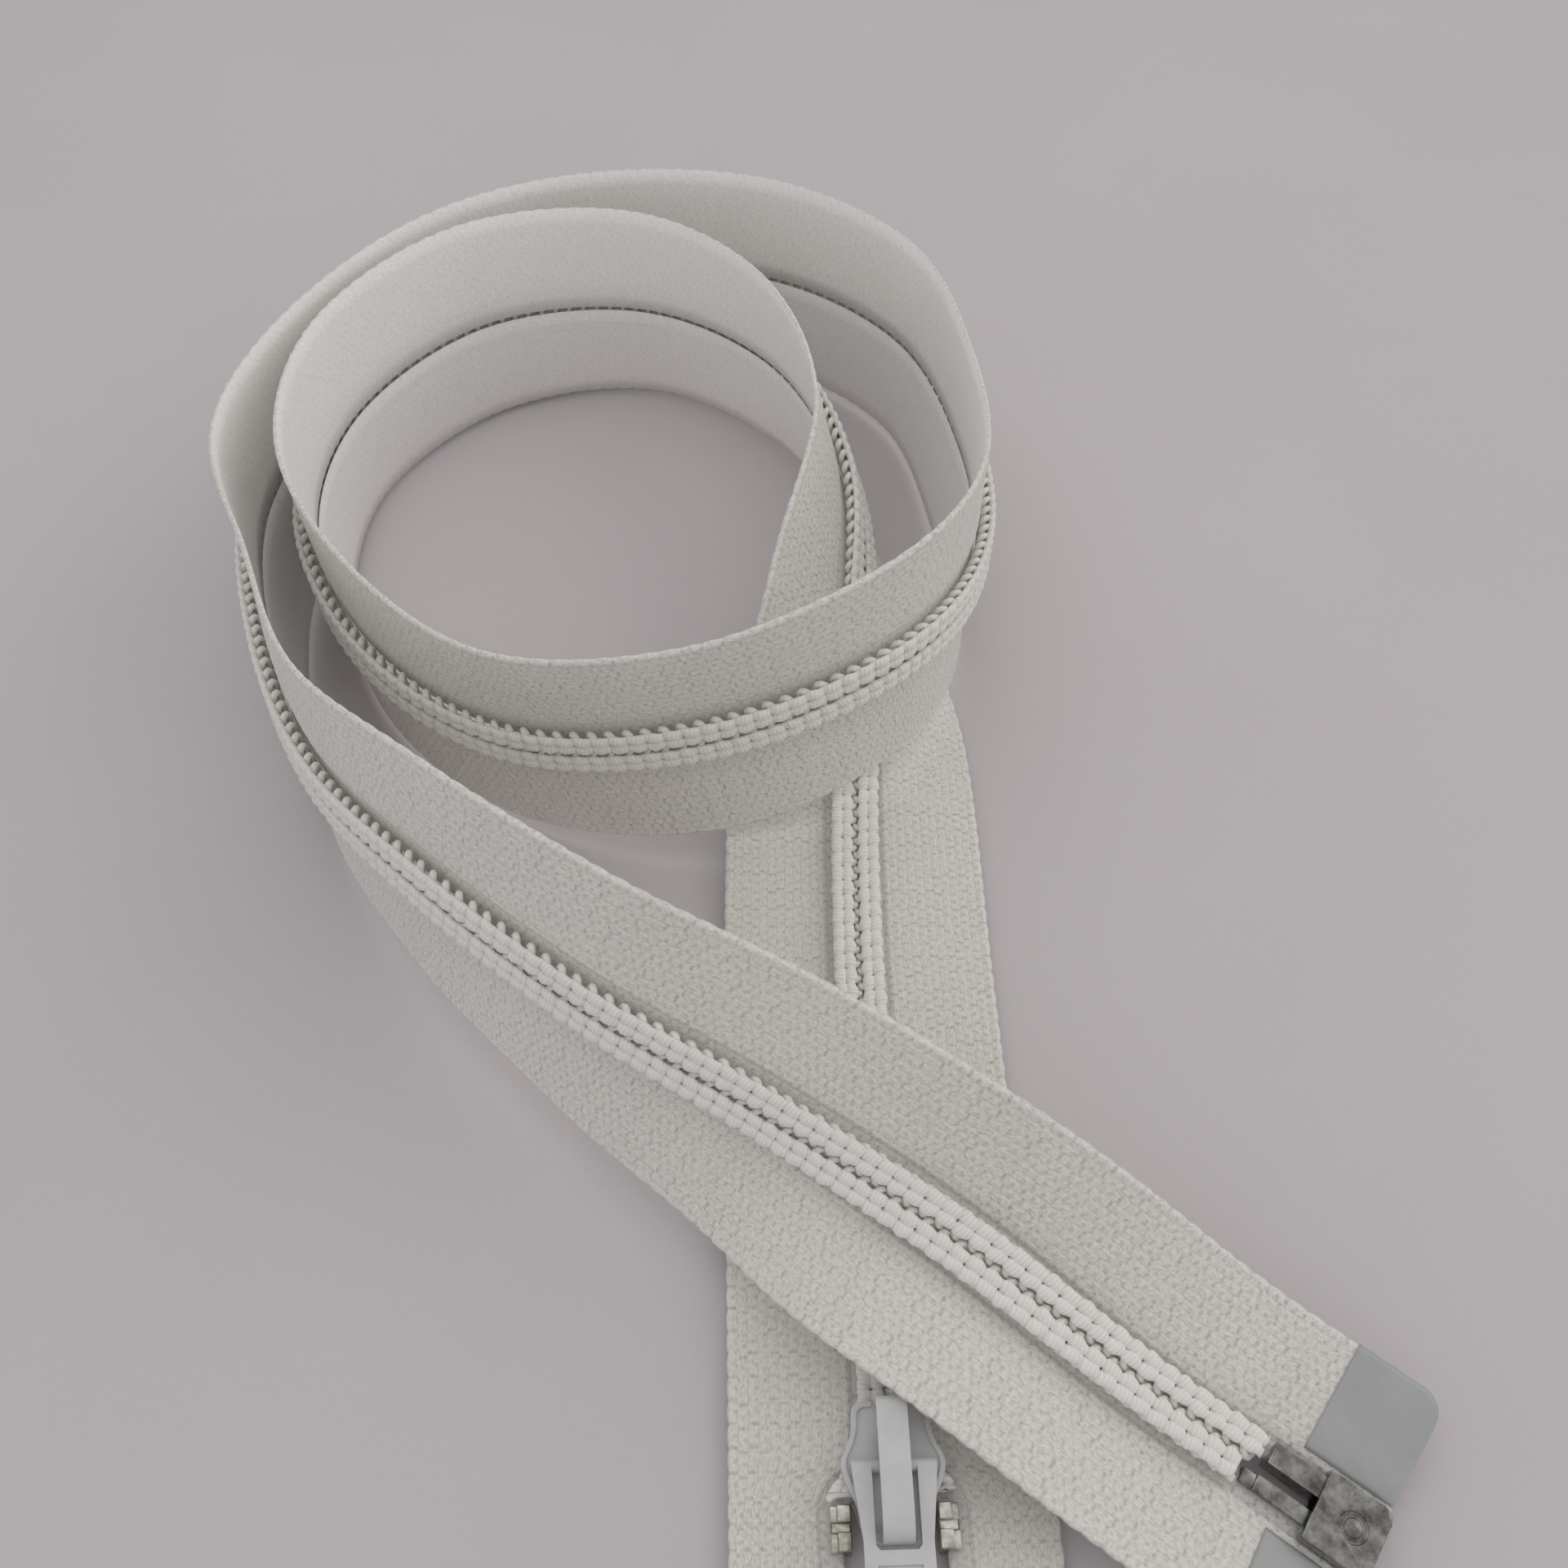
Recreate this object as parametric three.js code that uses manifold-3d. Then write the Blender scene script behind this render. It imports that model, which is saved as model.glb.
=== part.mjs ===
// A closed, separating nylon-coil zipper that lies curled into a loose standing loop.
// Millimetres, +Z up. The chain leaves the slider along +Y, coil side up, then the tape
// twists on edge, goes one and two thirds turns round and comes back down over itself.
// Left and right are named looking along the chain from the slider, coil side up.
import * as THREE from 'three';
import { mergeVertices } from 'three/addons/utils/BufferGeometryUtils.js';
import Module from 'manifold-3d';

const wasm = await Module();
wasm.setup();

// ---------------------------------------------------------------- driving dimensions

const TAPE_HALF = 16;            // chain centre to the tape's outer edge
const TAPE_THICK = 0.5;
const TAPE_GAP = 0.5;            // chain centre to the tape's inner edge
const CLEARANCE = 0.3;           // between pieces that touch in the real object
const COIL_OUTER = 3.0;          // chain centre to the coil's outer side
const COIL_INNER = 0.15;         // chain centre to the coil's inner side
const COIL_HEIGHT = 1.5;
const COIL_WALL = 0.4;
const THREAD_THICK = 0.25;
const FILM_THICK = 0.2;
const FILM_LENGTH = 9.6;

const COIL_FOOT = TAPE_THICK + CLEARANCE;
const COIL_TOP = COIL_FOOT + COIL_HEIGHT;
const THREAD_FOOT = COIL_TOP + CLEARANCE;
const CHAIN_TOP = THREAD_FOOT + THREAD_THICK;
const TAPE_HINGE = COIL_OUTER + CLEARANCE;   // the tape folds just outside the coil

// The slider, measured from its centre: front is towards the top stops (-Y).
const BLADE_THICK = 1.0;
const CHANNEL_FLOOR = -CLEARANCE;
const CHANNEL_ROOF = CHAIN_TOP + CLEARANCE;
const BLADE_TOP = CHANNEL_ROOF + BLADE_THICK;
const SLIDER_REAR = 6.5;
const SLIDER_FRONT = -6.5;
const FLANGE_FOOT = TAPE_THICK + CLEARANCE;
const RIM_HEIGHT = 0.35;         // raised rim round the upper blade
const RIM_WIDTH = 0.5;
const CAP_WIDTH = 3.0;
const CAP_HEIGHT = 3.4;
const CAP_THICK = 0.5;
const PIVOT_Y = 0.4;
const PIVOT_RISE = 1.05;         // pivot axis above the upper blade
const PULL_THICK = 1.2;
const PULL_LENGTH = 25;

// Places along the chain, counted from the top end of the tapes.
const SLIDER_AT = 26.5;
const STOP_FROM = SLIDER_AT - 6.6;
const STOP_LENGTH = 4.4;
const COIL_FROM = STOP_FROM + STOP_LENGTH + CLEARANCE;
const SPREAD_FROM = SLIDER_AT + 3.2;         // the coils start to part here
const SPREAD_TO = STOP_FROM + STOP_LENGTH;
const SPREAD = 3.7;
const BOX_LENGTH = 6.8;
const BOX_HALF = 3.6;

// ---------------------------------------------------------------- the route of the chain

// The chain first runs straight along +Y, then through one station every STATION_GAP. Each
// is the centre of the tape's back face. lean is how far the tape is tipped up about the
// chain: 0 lies flat with the coil up, 90 stands on its right edge with the coil facing
// out of the loop. fold bends each tape back, away from the coil.
const STRAIGHT_LENGTH = 84;
const STATION_GAP = 24;
const STATIONS = [
  // x, y, z, lean, fold
  [11.5, 91, 1.3, 0, 0],
  [12, 115, 3.5, 10, 0],
  [13, 138, 11, 45, 0],
  [12, 161, 16, 75, 0],
  [3, 183, 17, 85, 0],
  [-16, 196, 17, 90, -5],
  [-39, 193, 17, 95, -5],
  [-55, 175, 17, 95, -5],
  [-58, 152, 17, 95, 0],
  [-48, 130, 17, 90, 0],
  [-29, 115, 18, 90, -5],
  [-5, 112, 22, 85, -10],
  [17, 121, 25, 85, -5],
  [28, 141, 20, 90, 0],
  [29, 165, 17, 95, 5],
  [22, 188, 17, 95, 0],
  [4, 203, 17, 95, 0],
  [-20, 206, 17, 95, 0],
  [-42, 197, 17, 100, 0],
  [-58, 178, 17, 100, 0],
  [-65, 155, 17, 100, 0],
  [-61, 132, 17, 90, 5],
  [-51, 110, 19, 85, 0],
  [-36, 92, 23, 75, 0],
  [-18, 77, 22, 65, 0],
  [1, 66, 17, 50, -5],
  [19, 54, 12, 25, -20],
  [38, 40, 4.5, 5, -15],
  [57, 26, 2, 0, -5],
];
const CURL_MIDDLE = [-1.49, 108.21];         // of the stations; it becomes the origin

const LENGTH = STRAIGHT_LENGTH + STATION_GAP * (STATIONS.length - 1);
const PIN_STRETCH = 15;
const BOX_FROM = LENGTH - BOX_LENGTH;
const RETAINER_FROM = BOX_FROM - 5.5;
const INSERTION_FROM = BOX_FROM - 7;
const FILM_FROM = LENGTH - FILM_LENGTH;

// Uniform Catmull-Rom through the stations; the bottom end is continued in a straight line.
function station(index) {
  const last = STATIONS.length - 1;
  const [x, y, ...flat] = STATIONS[0];
  if (index < 0) return [x, y + index * STATION_GAP, ...flat];
  if (index > last) return STATIONS[last].map((v, i) => 2 * v - STATIONS[last - 1][i]);
  return STATIONS[index];
}

function curveValues(distance) {
  const place = Math.min((distance - STRAIGHT_LENGTH) / STATION_GAP, STATIONS.length - 1);
  if (place <= 0) return station(place);
  const index = Math.min(Math.floor(place), STATIONS.length - 2);
  const t = place - index;
  const [a, b, c, d] = [-1, 0, 1, 2].map((step) => station(index + step));
  return b.map((_, i) => 0.5 * (2 * b[i] + (c[i] - a[i]) * t
    + (2 * a[i] - 5 * b[i] + 4 * c[i] - d[i]) * t ** 2
    + (3 * b[i] - a[i] - 3 * c[i] + d[i]) * t ** 3));
}

// The stretch that carries the pins and the box is straight and has one lean.
function routeValues(distance) {
  const beyond = distance - (LENGTH - PIN_STRETCH);
  if (beyond <= 0) return curveValues(distance);
  const start = curveValues(LENGTH - PIN_STRETCH);
  const before = curveValues(LENGTH - PIN_STRETCH - 1);
  return start.map((v, i) => (i < 3 ? v + (v - before[i]) * beyond : v));
}

// The local frame: along the chain, across towards the left tape, up from the coil side.
function routeFrame(distance) {
  const [x, y, z, lean, fold] = routeValues(distance);
  const near = routeValues(Math.max(distance - 0.5, 0));
  const far = routeValues(Math.min(distance + 0.5, LENGTH));
  const along = new THREE.Vector3(far[0] - near[0], far[1] - near[1], far[2] - near[2]).normalize();
  const level = new THREE.Vector3(-along.y, along.x, 0).normalize();
  const raised = new THREE.Vector3().crossVectors(along, level);
  const tip = THREE.MathUtils.degToRad(lean);
  const across = level.clone().multiplyScalar(Math.cos(tip)).addScaledVector(raised, Math.sin(tip));
  const up = new THREE.Vector3().crossVectors(along, across);
  const origin = new THREE.Vector3(x - CURL_MIDDLE[0], y - CURL_MIDDLE[1], z);
  return { origin, along, across, up, fold: THREE.MathUtils.degToRad(fold) };
}

// A point of a cross-section. side is +1 for the left half and -1 for the right half.
function sectionPoint(frame, side, reach, rise) {
  const inside = Math.min(reach, TAPE_HINGE);
  const outside = reach - inside;
  const point = frame.origin.clone().addScaledVector(frame.across, side * inside);
  if (outside === 0) return point.addScaledVector(frame.up, rise);
  const cos = Math.cos(frame.fold);
  const sin = Math.sin(frame.fold);
  return point
    .addScaledVector(frame.across, side * (outside * cos + rise * sin))
    .addScaledVector(frame.up, rise * cos - outside * sin);
}

// ---------------------------------------------------------------- swept fabric and coil

// Where cross-sections are cut: close together round the slider and the bottom end, few
// on the straight flat run and even round the loop.
const SLIDER_STEPS = [-6.6, -4.4, -2.2, -1.2, -0.2, 0.8, 1.8, 3.2].map((step) => SLIDER_AT + step);
const LOOP_STEP = 8.8;

function cutPlaces() {
  const places = [0, ...SLIDER_STEPS, 56, STRAIGHT_LENGTH];
  const curl = LENGTH - PIN_STRETCH - STRAIGHT_LENGTH;
  const steps = Math.ceil(curl / LOOP_STEP);
  for (let i = 1; i <= steps; i += 1) places.push(STRAIGHT_LENGTH + (i * curl) / steps);
  places.push(INSERTION_FROM - 0.5, INSERTION_FROM, FILM_FROM, BOX_FROM, LENGTH - 2, LENGTH);
  return places;
}
const CUTS = cutPlaces();

// How far the coils have parted from the chain centre at the slider and beyond it.
function spreadAt(distance) {
  const t = THREE.MathUtils.clamp((SPREAD_FROM - distance) / (SPREAD_FROM - SPREAD_TO), 0, 1);
  return SPREAD * t * t * (3 - 2 * t);
}

// section(distance) gives the half's outline as [reach, rise] pairs, counter-clockwise
// seen along the chain on the left half.
function sweep(side, from, to, section) {
  const inner = CUTS.filter((cut) => cut > from + 0.05 && cut < to - 0.05);
  const places = [from, ...inner, to];
  const rings = places.map((distance) => {
    const frame = routeFrame(distance);
    return section(distance).map(([reach, rise]) => sectionPoint(frame, side, reach, rise));
  });
  const outline = section(from).map(([reach, rise]) => new THREE.Vector2(reach, rise));
  const caps = THREE.ShapeUtils.triangulateShape(outline, []);
  const count = outline.length;
  const positions = rings.flat().flatMap((point) => [point.x, point.y, point.z]);
  const triangles = [];
  for (let ring = 0; ring < rings.length - 1; ring += 1) {
    for (let i = 0; i < count; i += 1) {
      const a = ring * count + i;
      const b = ring * count + ((i + 1) % count);
      triangles.push([a, b, b + count], [a, b + count, a + count]);
    }
  }
  const end = (rings.length - 1) * count;
  for (const [a, b, c] of caps) triangles.push([a, c, b], [a + end, b + end, c + end]);
  const flip = side < 0;
  const index = triangles.flatMap(([a, b, c]) => (flip ? [a, c, b] : [a, b, c]));
  const geometry = new THREE.BufferGeometry();
  geometry.setAttribute('position', new THREE.Float32BufferAttribute(positions, 3));
  geometry.setIndex(index);
  geometry.computeVertexNormals();
  return geometry;
}

function band(fromReach, toReach, foot, top) {
  return [[fromReach, foot], [toReach, foot], [toReach, top], [fromReach, top]];
}

// The inner edge is cut back where a stop or a pin is crimped on, and follows the coil
// where the two halves part. The outer bottom corner is rounded off.
const CRIMP_INSET = 1.0;
const CORNER_CUT = 2;

function tapeSection(distance) {
  const crimped = distance < SPREAD_TO + 0.1 || distance > INSERTION_FROM - 0.3;
  const inner = TAPE_GAP + spreadAt(distance) + (crimped ? CRIMP_INSET : 0);
  const outer = TAPE_HALF - (distance > LENGTH - 1 ? CORNER_CUT : 0);
  const hinge = Math.max(TAPE_HINGE, inner + 0.4);
  return [
    [inner, 0], [hinge, 0], [outer, 0],
    [outer, TAPE_THICK], [hinge, TAPE_THICK], [inner, TAPE_THICK],
  ];
}

// The coil is a row of loops; its envelope is a channel that stays open to the tape.
function coilSection(distance) {
  const shift = spreadAt(distance);
  const [near, far] = [COIL_INNER + shift, COIL_OUTER + shift];
  const roof = COIL_TOP - COIL_WALL;
  return [
    [near, COIL_FOOT], [near + COIL_WALL, COIL_FOOT],
    [near + COIL_WALL, roof], [far - COIL_WALL, roof],
    [far - COIL_WALL, COIL_FOOT], [far, COIL_FOOT],
    [far, COIL_TOP], [near, COIL_TOP],
  ];
}

const CORD_WIDTH = 1.1;
const CORD_HEIGHT = 0.65;

function cordSection(distance) {
  const middle = (COIL_INNER + COIL_OUTER) / 2 + spreadAt(distance);
  const foot = COIL_FOOT + 0.05;
  return band(middle - CORD_WIDTH / 2, middle + CORD_WIDTH / 2, foot, foot + CORD_HEIGHT);
}

// Two rows of sewing thread lie over each coil.
const THREAD_WIDTH = 0.8;

function threadSection(row) {
  return (distance) => {
    const from = row + spreadAt(distance);
    return band(from, from + THREAD_WIDTH, THREAD_FOOT, CHAIN_TOP);
  };
}

function filmSection(distance) {
  const outer = TAPE_HALF - (distance > LENGTH - 1 ? CORNER_CUT : 0) - 0.2;
  const foot = TAPE_THICK + CLEARANCE;
  return band(TAPE_HINGE + 1.2, outer, foot, foot + FILM_THICK);
}

// ---------------------------------------------------------------- solid metal pieces

const CURVE_SEGMENTS = 6;

function toManifold(geometry) {
  geometry.deleteAttribute('normal');
  geometry.deleteAttribute('uv');
  const merged = mergeVertices(geometry, 1e-4);
  return new wasm.Manifold(new wasm.Mesh({
    numProp: 3,
    vertProperties: new Float32Array(merged.attributes.position.array),
    triVerts: new Uint32Array(merged.index.array),
  }));
}

function toGeometry(solid) {
  const mesh = solid.getMesh();
  const geometry = new THREE.BufferGeometry();
  geometry.setAttribute('position', new THREE.Float32BufferAttribute(mesh.vertProperties, 3));
  geometry.setIndex(new THREE.BufferAttribute(mesh.triVerts, 1));
  return geometry;
}

// A plan outline (x, y) raised from one height to another.
function raise(shape, foot, top) {
  const settings = { depth: top - foot, bevelEnabled: false, curveSegments: CURVE_SEGMENTS };
  const geometry = new THREE.ExtrudeGeometry(shape, settings);
  geometry.translate(0, 0, foot);
  return toManifold(geometry);
}

// A side outline (y, z) given a width centred on x = 0.
function widen(shape, width) {
  const settings = { depth: width, bevelEnabled: false, curveSegments: CURVE_SEGMENTS };
  const geometry = new THREE.ExtrudeGeometry(shape, settings);
  geometry.translate(0, 0, -width / 2);
  geometry.rotateY(Math.PI / 2);
  geometry.rotateX(Math.PI / 2);
  return toManifold(geometry);
}

function block(low, high) {
  const geometry = new THREE.BoxGeometry(...high.map((value, i) => value - low[i]));
  geometry.translate(...high.map((value, i) => (value + low[i]) / 2));
  return toManifold(geometry);
}

// A block on the left (1) or right (-1) half, given by how far it reaches from the middle.
function sideBlock(side, reach, lengthwise, height) {
  const x = side > 0 ? [-reach[1], -reach[0]] : reach;
  return block([x[0], lengthwise[0], height[0]], [x[1], lengthwise[1], height[1]]);
}

// A round bar along X.
function crossBar(radius, width, y, z) {
  const geometry = new THREE.CylinderGeometry(radius, radius, width, 16);
  geometry.rotateZ(Math.PI / 2);
  geometry.translate(0, y, z);
  return toManifold(geometry);
}

// An upright round disc centred on x = 0.
function disc(radius, y, foot, top) {
  const geometry = new THREE.CylinderGeometry(radius, radius, top - foot, 24);
  geometry.rotateX(Math.PI / 2);
  geometry.translate(0, y, (foot + top) / 2);
  return toManifold(geometry);
}

// A plan outline that is the same on both sides, from its right half.
function mirroredShape(half) {
  const shape = new THREE.Shape();
  const otherHalf = half.filter(([x]) => x > 0).map(([x, y]) => [-x, y]).reverse();
  shape.setFromPoints([...half, ...otherHalf].map(([x, y]) => new THREE.Vector2(x, y)));
  return shape;
}

function smoothOutline(half, divisions) {
  const points = half.map(([x, y]) => new THREE.Vector3(x, y, 0));
  const curve = new THREE.CatmullRomCurve3(points, false, 'centripetal');
  return mirroredShape(curve.getPoints(divisions).map(({ x, y }) => [Math.abs(x) < 1e-6 ? 0 : x, y]));
}

// Both blades share this outline: narrow behind, widest where the channel forks, and a
// nose that fits between the top stops. inset moves it inwards.
function bladeOutline(inset) {
  const half = [
    [3.2, SLIDER_REAR], [3.75, 5.9], [3.85, 4.2], [4.3, 2.6], [5.05, 0.9],
    [4.6, -0.9], [3.75, -2.6], [3.1, -4.6], [2.0, -6.0], [0, SLIDER_FRONT],
  ];
  return smoothOutline(half.map(([x, y]) => {
    const inner = y - Math.sign(y) * inset * (Math.abs(y) / SLIDER_REAR) ** 4;
    return [Math.max(x - inset, 0), inner];
  }), 26);
}

// A low wall on the edge of the upper blade, open in front and behind under the cap.
function bladeRim() {
  const foot = BLADE_TOP - 0.1;
  const top = BLADE_TOP + RIM_HEIGHT;
  const opening = CAP_WIDTH / 2 + CLEARANCE;
  return raise(bladeOutline(0), foot, top)
    .subtract(raise(bladeOutline(RIM_WIDTH), foot - 1, top + 1))
    .subtract(block([-opening, SLIDER_FRONT - 1, foot - 1], [opening, SLIDER_REAR + 1, top + 1]));
}

const FORK_Y = 1.4;              // in front of this the channel is open at the sides
const PAWL_HOLE = { from: 1.5, to: 3.1, half: 0.75 };

function sliderBody() {
  const upper = raise(bladeOutline(0), FLANGE_FOOT, BLADE_TOP);
  const lower = raise(bladeOutline(0), CHANNEL_FLOOR - BLADE_THICK, CHANNEL_FLOOR);
  const channel = mirroredShape([
    [3.3, SLIDER_REAR + 1], [3.3, 4.0], [3.6, 2.8], [4.3, FORK_Y], [7, FORK_Y], [7, SLIDER_FRONT - 1],
  ]);
  const diamond = smoothOutline([
    [0, 1.9], [0.6, 1.0], [1.2, -0.4], [1.9, -2.6], [1.6, -4.6], [0, -5.6],
  ], 14);
  const { from, to, half } = PAWL_HOLE;
  const hole = block([-half, from, CHANNEL_ROOF - 1], [half, to, BLADE_TOP + 1]);
  const overlap = 0.1;
  const frontLug = block([-0.9, -5.4, BLADE_TOP - overlap], [0.9, -4.0, BLADE_TOP + 1.7]);
  const rearLug = block([-0.9, 3.9, BLADE_TOP - overlap], [0.9, 5.4, BLADE_TOP + 1.6]);
  return upper
    .subtract(raise(channel, FLANGE_FOOT - 1, CHANNEL_ROOF))
    .subtract(hole)
    .add(lower)
    .add(bladeRim())
    .add(raise(diamond, CHANNEL_FLOOR - overlap, CHANNEL_ROOF + overlap))
    .add(frontLug)
    .add(rearLug);
}

// The strap over the lugs: flat on top, square behind and rounded down in front. inset
// moves the profile inwards and drop moves it down.
function capProfile(inset, drop) {
  const top = BLADE_TOP + CAP_HEIGHT - inset - drop;
  const foot = BLADE_TOP + CLEARANCE - drop;
  const rear = SLIDER_REAR - 0.1 - inset;
  const front = SLIDER_FRONT - 0.1 + inset;
  const shape = new THREE.Shape();
  shape.moveTo(rear, foot);
  shape.lineTo(rear, top - 0.8);
  shape.quadraticCurveTo(rear, top, rear - 0.8, top);
  shape.lineTo(front + 2.8, top);
  shape.quadraticCurveTo(front, top - 0.1, front, foot + 0.9);
  shape.lineTo(front, foot);
  return shape;
}

function sliderCap() {
  return widen(capProfile(0, 0), CAP_WIDTH).subtract(widen(capProfile(CAP_THICK, 0.2), CAP_WIDTH + 1));
}

// A flat leaf fixed over the rear lug, with a tooth that reaches down through the blade.
const LEAF_RISE = 1.95;
const LEAF_THICK = 0.25;

function lockSpring() {
  const foot = BLADE_TOP + LEAF_RISE;
  const leaf = block([-0.8, -0.9, foot], [0.8, 5.35, foot + LEAF_THICK]);
  const tooth = block([-0.4, 2.0, CHANNEL_ROOF], [0.4, 2.6, foot + LEAF_THICK]);
  return leaf.add(tooth);
}

// The pull hangs from a round cross bar under the cap; a window lets it clear the cap.
function pullTab() {
  const tip = PIVOT_Y - PULL_LENGTH;
  const half = [[4.1, PIVOT_Y], [3.95, PIVOT_Y - 1.6], [3.3, PIVOT_Y - 6.6], [3.3, tip + 2.4]];
  for (let i = 1; i <= 5; i += 1) {
    const angle = (i / 6) * (Math.PI / 2);
    half.push([0.9 + 2.4 * Math.cos(angle), tip + 2.4 - 2.4 * Math.sin(angle)]);
  }
  half.push([0.9, tip]);
  const axisZ = BLADE_TOP + PIVOT_RISE;
  const [foot, top] = [axisZ - PULL_THICK / 2, axisZ + PULL_THICK / 2];
  const windowEnd = PIVOT_Y - 7.45;
  const opening = mirroredShape([[2.2, PIVOT_Y], [2.15, windowEnd + 0.4], [1.8, windowEnd]]);
  const panel = mirroredShape([
    [2.1, windowEnd - 1.3], [2.2, tip + 3.4], [1.5, tip + 1.9], [0.6, tip + 1.4],
  ]);
  const panelDepth = 0.3;
  return raise(mirroredShape(half), foot, top)
    .subtract(raise(opening, foot - 1, top + 1))
    .subtract(raise(panel, top - panelDepth, top + 1))
    .subtract(raise(panel, foot - 1, foot + panelDepth))
    .add(crossBar(PULL_THICK / 2, 8.2, PIVOT_Y, axisZ));
}

// A strip of metal bent round the tape's inner edge, open on its outer side. reach and
// height are its limits outside, wall is how thick the bend is.
function crimp(side, reach, height, wall, length) {
  const slot = [reach[0] + wall, reach[1] + 1];
  return sideBlock(side, reach, [0, length], height)
    .subtract(sideBlock(side, slot, [-1, length + 1], [-CLEARANCE, TAPE_THICK + CLEARANCE]));
}

// A top stop is pinched once across, so it shows two humps, and is lower on its outer side.
function topStop(side) {
  const from = TAPE_GAP + SPREAD;
  const length = STOP_LENGTH - 0.2;
  const pinch = sideBlock(side, [from - 1, from + 4], [length * 0.42, length * 0.62], [1.55, 4]);
  const shoulder = sideBlock(side, [from + 1.35, from + 4], [-1, length + 1], [1.75, 4]);
  return crimp(side, [from, from + 2], [-0.75, 2.25], 0.6, length).subtract(pinch).subtract(shoulder);
}

const RETAINER_LENGTH = LENGTH - 1.2 - RETAINER_FROM;
const INSERTION_LENGTH = LENGTH - 1.5 - INSERTION_FROM;

function retainerPin() {
  return crimp(1, [0.6, 2.8], [-0.7, 2.1], 0.6, RETAINER_LENGTH);
}

// The insertion pin has a lower lead at its free end.
function insertionPin() {
  const lead = sideBlock(-1, [-1, 4], [-1, 1.4], [1.1, 3]);
  return crimp(-1, [0.7, 2.3], [-0.65, 1.5], 0.5, INSERTION_LENGTH).subtract(lead);
}

// The box: one pocket open towards the chain, slots for both tapes, rounded far corners.
function retainerBox() {
  const [foot, top] = [-1.1, 2.6];
  const outline = mirroredShape([
    [BOX_HALF - 1.2, BOX_LENGTH], [BOX_HALF - 0.35, BOX_LENGTH - 0.35],
    [BOX_HALF, BOX_LENGTH - 1.2], [BOX_HALF, 0],
  ]);
  const pocket = block([-3.0, -1, foot + 0.35], [3.0, BOX_LENGTH - 0.7, top - 0.4]);
  const slot = [[1.2, 5], [-1, BOX_LENGTH + 1], [-CLEARANCE, TAPE_THICK + CLEARANCE]];
  const middle = BOX_LENGTH / 2 + 0.4;
  return raise(outline, foot, top)
    .subtract(pocket)
    .subtract(sideBlock(1, ...slot))
    .subtract(sideBlock(-1, ...slot))
    .subtract(disc(1.5, middle, top - 0.15, top + 1))
    .add(disc(0.9, middle, top - 0.25, top - 0.05));
}

// ---------------------------------------------------------------- assembly

function material(colour, roughness, metalness) {
  return new THREE.MeshStandardMaterial({ color: colour, roughness, metalness });
}

const part = new THREE.Group();
part.name = 'zipper';

function addMesh(name, geometry, meshMaterial) {
  const mesh = new THREE.Mesh(geometry, meshMaterial);
  mesh.name = name;
  part.add(mesh);
  return mesh;
}

function addSolid(name, solid, distance, meshMaterial) {
  const mesh = addMesh(name, toGeometry(solid), meshMaterial);
  const frame = routeFrame(distance);
  const right = frame.across.clone().negate();
  mesh.quaternion.setFromRotationMatrix(new THREE.Matrix4().makeBasis(right, frame.along, frame.up));
  mesh.position.copy(frame.origin);
}

const WHITE_TAPE = 0xf1f0ec;
const WHITE_NYLON = 0xf4f4f1;
const WHITE_CORD = 0xebeae4;
const WHITE_THREAD = 0xf6f6f4;
const FILM_GREY = 0xb9bcbb;
const LACQUER_WHITE = 0xdfe0dd;
const STOP_SILVER = 0xb9b7b2;
const NICKEL = 0xa5a39f;
const STEEL = 0x8d8d8f;

const COIL_TO = { left: RETAINER_FROM - CLEARANCE, right: INSERTION_FROM - CLEARANCE };
const SEWN_FROM = COIL_FROM + 0.5;
const INNER_ROW = 0.6;
const OUTER_ROW = 1.9;

for (const [name, side] of [['left', 1], ['right', -1]]) {
  const coilTo = COIL_TO[name];
  const sewnTo = coilTo - 0.5;
  const tape = sweep(side, 0, LENGTH, tapeSection);
  const coil = sweep(side, COIL_FROM, coilTo, coilSection);
  const cord = sweep(side, SEWN_FROM, sewnTo, cordSection);
  const innerRow = sweep(side, SEWN_FROM, sewnTo, threadSection(INNER_ROW));
  const outerRow = sweep(side, SEWN_FROM, sewnTo, threadSection(OUTER_ROW));
  const film = sweep(side, FILM_FROM, LENGTH - 0.3, filmSection);
  addMesh(`tape_${name}`, tape, material(WHITE_TAPE, 0.9, 0));
  addMesh(`coil_${name}`, coil, material(WHITE_NYLON, 0.45, 0));
  addMesh(`core_cord_${name}`, cord, material(WHITE_CORD, 0.9, 0));
  addMesh(`stitch_${name}_inner`, innerRow, material(WHITE_THREAD, 0.7, 0));
  addMesh(`stitch_${name}_outer`, outerRow, material(WHITE_THREAD, 0.7, 0));
  addMesh(`film_${name}`, film, material(FILM_GREY, 0.35, 0));
  addSolid(`top_stop_${name}`, topStop(side), STOP_FROM + 0.1, material(STOP_SILVER, 0.3, 1));
}
addSolid('retainer_pin', retainerPin(), RETAINER_FROM, material(NICKEL, 0.25, 1));
addSolid('insertion_pin', insertionPin(), INSERTION_FROM, material(NICKEL, 0.25, 1));
addSolid('retainer_box', retainerBox(), BOX_FROM, material(NICKEL, 0.3, 1));
addSolid('slider_body', sliderBody(), SLIDER_AT, material(LACQUER_WHITE, 0.35, 0.1));
addSolid('slider_cap', sliderCap(), SLIDER_AT, material(LACQUER_WHITE, 0.3, 0.1));
addSolid('lock_spring', lockSpring(), SLIDER_AT, material(STEEL, 0.35, 1));
addSolid('pull_tab', pullTab(), SLIDER_AT, material(LACQUER_WHITE, 0.35, 0.1));

export default part;
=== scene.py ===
"""Looks for the curled nylon-coil zipper: woven tapes, coil, stitching, film and metal.

Lengths are in millimetres along the chain and turned into metres when a mesh is made.
"""
import math

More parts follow.
